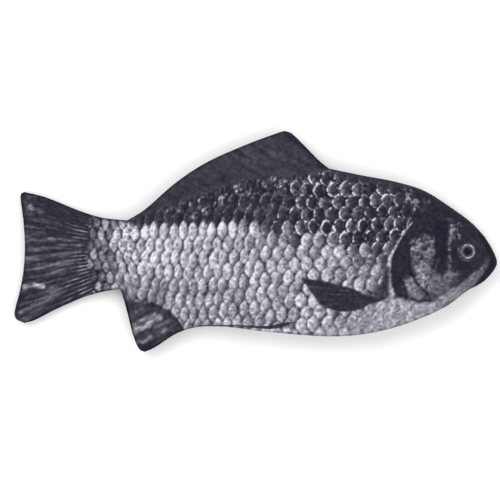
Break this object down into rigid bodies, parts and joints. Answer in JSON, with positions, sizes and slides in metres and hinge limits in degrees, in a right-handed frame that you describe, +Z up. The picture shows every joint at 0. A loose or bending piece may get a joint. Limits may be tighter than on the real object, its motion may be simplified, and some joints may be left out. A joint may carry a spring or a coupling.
{
  "type": "fish-shaped zip pouch",
  "caption": "Flat fabric pouch in the shape of a carp, with printed scales, a cloth lining and a coil zip set back in its curved belly seam.",
  "frame": {"origin": "centre of the overall box, on the resting face", "axes": "+X from tail to nose, +Y towards the dorsal fin, +Z up from the resting back panel to the front panel"},
  "size_m": [0.2199, 0.1006, 0.024],
  "materials": {
    "front_panel": "printed polyester",
    "back_panel": "printed polyester",
    "front_lining": "plain weave",
    "back_lining": "plain weave",
    "front_zip_tape": "woven tape",
    "back_zip_tape": "woven tape",
    "front_zip_coil": "nylon",
    "back_zip_coil": "nylon",
    "zip_slider": "dark lacquer",
    "zip_pull": "dark lacquer",
    "front_top_stop": "satin",
    "back_top_stop": "satin",
    "bottom_stop": "satin"
  },
  "bodies": {
    "root": {"front_panel": "front_panel", "back_panel": "back_panel", "front_lining": "front_lining", "back_lining": "back_lining", "bottom_stop": "bottom_stop"},
    "slider": {"zip_slider": "zip_slider"},
    "pull": {"zip_pull": "zip_pull"},
    "front_lip": {"front_zip_tape": "front_zip_tape", "front_zip_coil": "front_zip_coil", "front_top_stop": "front_top_stop"},
    "back_lip": {"back_zip_tape": "back_zip_tape", "back_zip_coil": "back_zip_coil", "back_top_stop": "back_top_stop"}
  },
  "joints": [
    {"name": "slider_travel", "type": "hinge", "parent": "root", "child": "slider", "pos_m": [0.02724, 0.07781, 0.009], "axis": [0, 0, -1], "range_deg": [0, 42.2], "deforming": ["front_zip_coil", "back_zip_coil", "front_zip_tape", "back_zip_tape"]},
    {"name": "pull_swing", "type": "hinge", "parent": "slider", "child": "pull", "pos_m": [0.08517, -0.02583, 0.009], "axis": [0, 0, 1], "range_deg": [0, 150]},
    {"name": "front_lip_gape", "type": "slide", "parent": "root", "child": "front_lip", "axis": [0, 0.8, 0.6], "range_m": [0, 0.0065]},
    {"name": "back_lip_gape", "type": "slide", "parent": "root", "child": "back_lip", "axis": [0, 0.9798, -0.2], "range_m": [0, 0.0065]}
  ],
  "couplings": [
    {"joint": "front_lip_gape", "follows": "slider_travel", "m_per_rad": 0.0088},
    {"joint": "back_lip_gape", "follows": "slider_travel", "m_per_rad": 0.0088}
  ]
}
